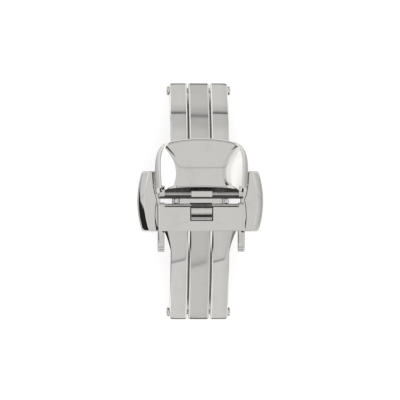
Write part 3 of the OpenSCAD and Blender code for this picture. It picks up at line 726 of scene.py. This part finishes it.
# Rays from cover_start end at the nearest edge: the arc at the strap's end, with an arc for its two
# corners, an arc on each side, or the low arc between two round horns. Each edge has its own rim, in
# the order of top, low and side edge. The hub is the small ring that closes the cover from below.
hub_share = 0.02
cover_start = np.array([0.0, 7.4])
cover_top_y, cover_top_r, corner_y, corner_r = 13.76, 32.0, 5.0, 11.3
cover_low_y, cover_low_r, horn_x, horn_r = 3.08, 73.0, 6.9, 3.0
cover_x, cover_side_r, cover_side_y = 10.2, 30.0, 6.5
corner_soft, horn_soft, crease_soft = 0.3, 0.12, 0.06
strap_channel, cover_height, cover_thick = 1.7, 2.74, 1.2
skirt_low = head_high + strap_channel
crown_top, crown_radius, crown_y = skirt_low + cover_height, 30.0, 6.3
facet_x, facet_slope = 5.4, math.tan(math.radians(12.0))
facet_bow, facet_middle, facet_twist, twist_y = 0.0030, 7.6, 0.0118, 6.0
rim_widths, rim_sinks, rim_soft, rim_power = (0.28, 0.28, 1.35), (0.78, 1.0, 1.6), 0.9, 1.78
ceiling, skirt = crown_top - cover_thick, 0.75
least_wall, rim_gap = 0.05, 0.02
mouth_y, mouth_half, mouth_lip = 4.0, 9.45, 0.04
ways = arrows(np.linspace(0.0, 2 * math.pi, 420, endpoint=False))
horn_y = cover_low_y - cover_low_r + math.sqrt((cover_low_r - horn_r) ** 2 - horn_x ** 2)
arch = ray_in(cover_start, ways, (0.0, cover_low_y - cover_low_r), cover_low_r)
arch_half = horn_x * cover_low_r / (cover_low_r - horn_r)
low_edges = [np.where(np.abs(arch * ways[:, 0]) > arch_half, very_far, arch)]
low_edges += [ray_in(cover_start, ways, (x, horn_y), horn_r) for x in (-horn_x, horn_x)]
low_edge = np.min(low_edges, 0)
top_edge = soft_least([ray_out(cover_start, ways, (0.0, cover_top_y - cover_top_r), cover_top_r),
                       ray_out(cover_start, ways, (0.0, corner_y), corner_r)], corner_soft)
side_edge = soft_least([ray_out(cover_start, ways, (side * (cover_x - cover_side_r), cover_side_y),
                                cover_side_r) for side in (-1, 1)], corner_soft)
upper_edge = soft_least([top_edge, side_edge], corner_soft)
cover_outline = cover_start + soft_least([upper_edge, low_edge], horn_soft)[:, None] * ways
cover_edges = np.stack([top_edge, low_edge, side_edge])
cover_rim, cover_sink = edge_mix(cover_edges, [rim_widths, rim_sinks], rim_soft)


def cover_face(x, y):
    """Height of the cover's face: a crown round an axis across the strap, met by two facets that fall
    away to the sides, with the two creases polished over. A facet is a plane, bowed a little across by a
    parabola and twisted a little: it is less steep towards the strap's end."""
    crown = crown_top - crown_radius + np.sqrt(crown_radius ** 2 - (y - crown_y) ** 2)
    steep = facet_slope * (1.0 - facet_twist * (y - twist_y))
    facet = crown_top - (np.abs(x) - facet_x) * steep - facet_bow * (np.abs(x) - facet_middle) ** 2
    return soft_least([crown, facet], crease_soft)


rim_room = cover_face(*cover_outline.T) - skirt_low - least_wall
cover_top = dished(cover_start, cover_outline, cover_rim, cover_face, rim_power,
                   np.minimum(cover_sink, rim_room / cover_rim))
in_mouth = (cover_outline[:, 1] < mouth_y) & (np.abs(cover_outline[:, 0]) < mouth_half)
wall_end = np.where(in_mouth, ceiling - mouth_lip, skirt_low)
wall_to = np.minimum(wall_end, cover_top[-1, :, 2] - rim_gap)
cover_wall = [ring_at(cover_outline, inset, wall_to + lift)
              for inset, lift in ((0.0, 0.06), (0.02, 0.02), (0.06, 0.0), (skirt, 0.0))]
cover_wall.append(ring_at(cover_outline, skirt + 0.01, ceiling))
cover_wall.append(ring_at(cover_start + hub_share * (cover_outline - cover_start), 0.0, ceiling))
make("flip_cover", [skin(np.concatenate([cover_top, np.stack(cover_wall)]))], "cover_body", ["cover"])


# Cover's hinge plate: a flat plate brazed inside the cover, rolled at its lower edge into the
# knuckle that turns on the rod. The turned peg in it goes through a hole of the strap.
plate_half, plate_front, plate_back, plate_corner = 7.8, 3.3, 10.91, 0.6
plate_low, plate_high, plate_soft = ceiling - 0.6, ceiling - 0.012, 0.06
knuckle_half, knuckle_radius, knuckle_soft = 2.3, 0.70, 0.08
leaf_half, leaf_edge = 2.28, 0.04
mounts = {mount["name"]: mount for mount in frame["record"]["mounts"]}
peg_y = mm_per_m * mounts["strap_peg"]["pos_m"][1]
plate_outline = rounded_corners(oblong((-plate_half, plate_front), (plate_half, plate_back)), plate_corner)
knuckle_side = rounded_corners(oblong((rod_y - knuckle_radius, rod_z - knuckle_radius),
                                      (rod_y + knuckle_radius, rod_z + knuckle_radius)),
                               [0.6, 0.6, 0.2, 0.2], steps=9)
leaf_side = rod_at + np.array([(0.0, -0.277), (1.35, -0.577), (2.0, -0.427), (2.3, 0.023), (2.3, 0.523),
                               (1.95, 0.523), (1.7, 0.073), (1.5, -0.177), (1.35, -0.247), (1.2, -0.157),
                               (0.5, 0.463), (0.1, 0.423)])
peg_along = plate_low + np.array([-2.2, -2.197, -2.137, -2.037, -1.897, -1.757, -0.097, -0.017, 0.023])
peg_radius = np.array([0.30, 0.42, 0.60, 0.72, 0.785, 0.80, 0.80, 0.74, 0.74])
make("cover_knuckle_plate", [
    skin(plate(plate_outline, plate_low, plate_high, plate_soft)),
    skin(plate(knuckle_side, -knuckle_half, knuckle_half, knuckle_soft, across=True))],
    "cover_body", ["cover_hinge_plate"])
make("cover_knuckle_leaf", [skin(plate(leaf_side, -leaf_half, leaf_half, leaf_edge, across=True))],
     "cover_body", ["cover_hinge_plate"], "lock_steel")
make("strap_hole_peg", [skin(turned(peg_along, peg_radius, peg_y, 0.0, upright=True))],
     "cover_body", ["strap_peg"])


# Strap frame on the lower arm: a bridge over the strap with a notch in it, two side walls, and
# behind them the legs that take the strap's spring bar. Milled as one piece, polished flat.
def around_hole(outline, middle, angles):
    """Where rays from a middle at the given angles leave a closed outline: for each ray the crossing with
    the one side whose two ends lie on either side of it."""
    way = arrows(angles)
    side = np.roll(outline, -1, 0) - outline
    off = outline - middle
    least, slack = 1e-12, 1e-9
    cross = way[:, None, 0] * side[None, :, 1] - way[:, None, 1] * side[None, :, 0]
    cross = np.where(np.abs(cross) < least, least, cross)
    t = (off[None, :, 0] * side[None, :, 1] - off[None, :, 1] * side[None, :, 0]) / cross
    u = (off[None, :, 0] * way[:, None, 1] - off[None, :, 1] * way[:, None, 0]) / cross
    reach = np.where((t > 0) & (u >= -slack) & (u <= 1 + slack), t, 0.0).max(1)
    return middle + reach[:, None] * way


def drilled(outline, middle, hole, low, high, soft_low, soft_high,
            bore_soft=0.08, bore_points=48, off_corners=0.003, least_turn=0.0002):
    """A wall with a round hole: the outline seen from the side goes from low to high along X with
    rounded edges, and the skin comes back through the hole. Both run round the hole's middle, with a ray
    to each corner of the outline and evenly spaced ones between, which are a little off the corners."""
    even = np.linspace(0.0, 2 * math.pi, bore_points, endpoint=False) + off_corners
    to_corners = np.arctan2(outline[:, 1] - middle[1], outline[:, 0] - middle[0])
    angles = np.sort(np.mod(np.concatenate([to_corners, even]), 2 * math.pi))
    angles = angles[np.concatenate([[True], np.diff(angles) > least_turn])]
    edge = around_hole(outline, middle, angles)
    bore = middle + hole * arrows(angles)
    rim = middle + (hole + bore_soft) * arrows(angles)
    a = np.radians(np.linspace(0.0, 90.0, 7))
    flat = [rim] + [drawn_in(edge, soft_low * (1 - v)) for v in np.sin(a)]
    flat += [drawn_in(edge, soft_high * (1 - v)) for v in np.sin(a)[::-1]] + [rim, bore, bore]
    level = np.concatenate([[low], low + soft_low * (1 - np.cos(a)),
                            (high - soft_high * (1 - np.cos(a)))[::-1],
                            [high, high - bore_soft, low + bore_soft]])
    depth = np.repeat(level[:, None], len(angles), 1)[..., None]
    return np.concatenate([depth, np.stack(flat)], -1)


bar_holes = mounts["spring_bar_holes"]
leg_at, hole_radius = mm_per_m * np.array(bar_holes["pos_m"][1:]), bar_holes["dims"]["r_mm"]
leg_in, leg_out, leg_round = 8.1, 9.5, 1.1
leg_soft_in, leg_soft_out = 0.06, 0.24
bridge_half, bridge_low, bridge_high = 8.6, skirt_low, skirt_low + 1.05
bridge_front, bridge_back = -1.23, -6.53
bridge_corner, bridge_soft, bridge_below_wall = 0.14, 0.07, 0.001
notch_half, notch_end = 2.5, -4.28
wall_side = np.concatenate([
    [(-0.33, 11.78), (-0.30, 11.81), (-0.30, 14.05), (-0.33, 14.20), (-0.42, 14.35), (-0.56, 14.46),
     (-0.75, bridge_high), (-3.0, bridge_high), (-6.3, bridge_high), (-6.8, 14.49), (-7.3, 14.44),
     (-7.9, 14.36), (-8.5, 14.24), (-9.0, 14.10), (-9.45, 13.93), (-9.75, 13.77), (-9.93, 13.57),
     (-10.03, 13.38)],
    leg_at + leg_round * arrows(np.radians(np.linspace(100.0, 268.0, 22))),
    [(-6.60, 11.06), (-6.48, 11.10), (-6.46, 11.70), (-6.40, 11.765), (-6.30, 11.77)]])
wall = drilled(wall_side, leg_at, hole_radius, leg_in, leg_out, leg_soft_in, leg_soft_out)
bridge_outline = rounded_corners(
    [(-bridge_half, bridge_back), (bridge_half, bridge_back), (bridge_half, bridge_front),
     (notch_half, bridge_front), (notch_half, notch_end), (-notch_half, notch_end),
     (-notch_half, bridge_front), (-bridge_half, bridge_front)], bridge_corner)
frame_shells = [skin(mirrored(wall, side), looped=True) for side in (-1, 1)]
frame_shells.append(skin(plate(bridge_outline, bridge_low, bridge_high - bridge_below_wall, bridge_soft)))
make("strap_frame_and_legs", frame_shells, "lower_arm_body", ["strap_frame"])


# Tail clip: a short sprung tongue in the frame's notch, bent from strip over its own rod, with a
# raised bead, a groove behind it and a lip for the fingernail.
clip_at = pivots["tail_clip_lift"][1:]
clip_y, clip_z = clip_at
clip_rod_half, clip_rod_radius = 9.54, 0.33
clip_half, clip_barrel, clip_end_soft, clip_soft = 2.3, 0.52, 0.08, 0.045
leaf_back, leaf_front = clip_y - 3.31, clip_y - 0.05
leaf_low, leaf_high, leaf_soft = clip_z - 0.472, clip_z - 0.242, 0.04
clip_rod = turned(*rod_profile(-clip_rod_half, clip_rod_half, clip_rod_radius, clip_end_soft),
                  clip_y, clip_z)
barrel = turned(*rod_profile(-clip_half, clip_half, clip_barrel, clip_end_soft), clip_y, clip_z)
leaf = brick((-clip_half, leaf_back, leaf_low), (clip_half, leaf_front, leaf_high), leaf_soft)
bead_corners = [(-2.65, -0.382), (-0.49, -0.382), (-0.49, 0.518), (-1.77, 0.518), (-1.87, -0.002),
                (-2.65, 0.218)]
bead = clip_at + rounded_corners(bead_corners, [0.03, 0.05, 0.42, 0.12, 0.03, 0.03], steps=10)
lip_corners = oblong((-3.33, -0.432), (-2.57, 0.288))
lip = clip_at + rounded_corners(lip_corners, [0.05, 0.05, 0.2, 0.12], steps=8)
make("clip_hinge_rod", [skin(clip_rod)], "lower_arm_body", ["clip_rod"], "spring_steel")
# The leaf's near-black steel is painted shade for the groove behind the bead.
make("tail_clip_leaf", [skin(leaf), skin(barrel)], "tail_clip_body", ["tail_clip"], "lock_steel")
make("tail_clip_bead", [skin(plate(bead, -clip_half, clip_half, clip_soft, across=True))],
     "tail_clip_body", ["tail_clip"])
make("tail_clip_lip", [skin(plate(lip, -clip_half, clip_half, clip_soft, across=True))],
     "tail_clip_body", ["tail_clip"], "spring_steel")


# Push-buttons: a D-shaped block on each side, milled from bar, with a rolled outer rim and a low
# ledge along the frame and the cover. Two turned stems run from each one into the lock.
def ray_line(start, way, normal, reach):
    """Distance from start along each way to the line at that reach along its normal."""
    facing, least = way @ np.asarray(normal, float), 1e-6
    return np.where(facing > least, (reach - np.dot(start, normal)) / np.maximum(facing, least), very_far)


# The rims are those of the outer arc, the upper, the lower and the inner edge
button_in, button_out, button_half, button_arc = 8.9, 13.84, 6.6, 21.0
button_low, button_high, button_soft = blade_top - 1.75, blade_top + 1.15, 0.22
button_rims, button_rim_soft = (0.28, 0.3, 0.3, 0.12), 0.3
roll, roll_sink, roll_power = 1.45, 0.6, 1.74
ledge_x, ledge_depth, ledge_slope, ledge_bend_y = 9.62, 0.13, 0.14, 0.3
ledge_widens, widens_over = 0.98, 2.0
ledge_bulge, bulge_y, bulge_half = 0.42, -3.0, 3.3
button_start = np.array([11.4, 0.0])
button_ways = arrows(np.linspace(0.0, 2 * math.pi, 360, endpoint=False))
button_lines = (((0.0, 1.0), button_half), ((0.0, -1.0), button_half), ((-1.0, 0.0), -button_in))
button_edges = np.stack([ray_out(button_start, button_ways, (button_out - button_arc, 0.0), button_arc),
                         *(ray_line(button_start, button_ways, *line) for line in button_lines)])
button_outline = button_start + soft_least(button_edges, button_soft)[:, None] * button_ways
button_rim = edge_mix(button_edges, button_rims, button_rim_soft)


def button_face(x, y):
    """Height of a button's face: flat, with a step down to a ledge that runs along the frame and widens
    in a curve beside the cover, and rolled down along the outer arc by a quarter of a superellipse that
    begins at a distance roll from the arc."""
    beyond = np.maximum(y, ledge_bend_y) - ledge_bend_y
    beside_cover = ledge_x + ledge_widens * (1.0 - np.exp(-beyond / widens_over))
    bulge = ledge_bulge * np.maximum(1.0 - ((y - bulge_y) / bulge_half) ** 2, 0.0)
    ledge = np.where(y > ledge_bend_y, beside_cover, ledge_x + bulge)
    down_share = np.clip((ledge - x) / ledge_slope + 0.5, 0.0, 1.0)
    to_arc = button_arc - np.hypot(x - (button_out - button_arc), y)
    s = np.clip(1.0 - to_arc / roll, 0.0, 1.0) ** (2.0 / roll_power)
    rolled = roll_sink * roll * (1.0 - (1.0 - s) ** (roll_power / 2.0))
    return button_high - ledge_depth * down_share * down_share * (3.0 - 2.0 * down_share) - rolled


button_top = dished(button_start, button_outline, button_rim, button_face,
                    power=1.0, sink=1.0, middles=140)
below = [ring_at(button_outline, inset, button_low + lift)
         for inset, lift in ((0.0, 0.2), (0.03, 0.1), (0.09, 0.03), (0.2, 0.0))]
below.append(ring_at(button_start + hub_share * (button_outline - button_start), 0.0, button_low))
button = np.concatenate([button_top, np.stack(below)])
stem_y, stem_z, stem_radius = 3.6, blade_top + 0.62, 0.45
stem_from, stem_to, stem_soft = 2.0, 10.9, 0.08
collar_from, collar_to, collar_height, collar_soft = 3.85, 4.05, 0.1, 0.04
stem_profile = rod_profile(stem_from, stem_to, stem_radius, stem_soft)
collar_profile = rod_profile(collar_from, collar_to, stem_radius + collar_height, collar_soft)
for name, side in (("left", -1), ("right", 1)):
    body = f"{name}_button_body"
    make(f"{name}_push_button", [skin(mirrored(button, side))], body, [f"{name}_button"])
    stems = [skin(mirrored(turned(*profile, y, stem_z), side))
             for y in (-stem_y, stem_y) for profile in (stem_profile, collar_profile)]
    make(f"{name}_turned_stems", stems, body, [f"{name}_stems"])
keep(["left_catch", "right_catch"], "lock_steel", 0.04)


# Return springs: one coil of drawn wire on each stem, four turns between the guide and the
# push-button. It rides on the base, at one length.
wire_radius, coil_radius, coil_turns = 0.1, 0.63, 4
coil_from, coil_to, coil_seat = 6.32, 8.78, 6.2


def coil(count=200, around=12):
    """Rings of a round wire along a helix about the X axis: each ring lies across the wire's own way."""
    t = np.linspace(0.0, 1.0, count)
    a = 2 * math.pi * coil_turns * t
    middle = np.stack([coil_from + (coil_to - coil_from) * t, coil_radius * np.cos(a),
                       coil_radius * np.sin(a)], -1)
    way = np.gradient(middle, axis=0)
    way /= np.linalg.norm(way, axis=1, keepdims=True)
    outward = np.stack([np.zeros(count), np.cos(a), np.sin(a)], -1)
    across = np.cross(way, outward)
    b = np.linspace(0.0, 2 * math.pi, around, endpoint=False)
    return (middle[:, None] + wire_radius * (np.cos(b)[:, None] * outward[:, None]
                                             + np.sin(b)[:, None] * across[:, None]))


one_coil = coil()
for name, side in (("left", -1), ("right", 1)):
    coils = [skin(mirrored(one_coil + np.array([0.0, y, stem_z]), side)) for y in (-stem_y, stem_y)]
    springs = make(f"{name}_return_springs", coils, "base", [f"{name}_springs"], "spring_steel")
    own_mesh(springs)
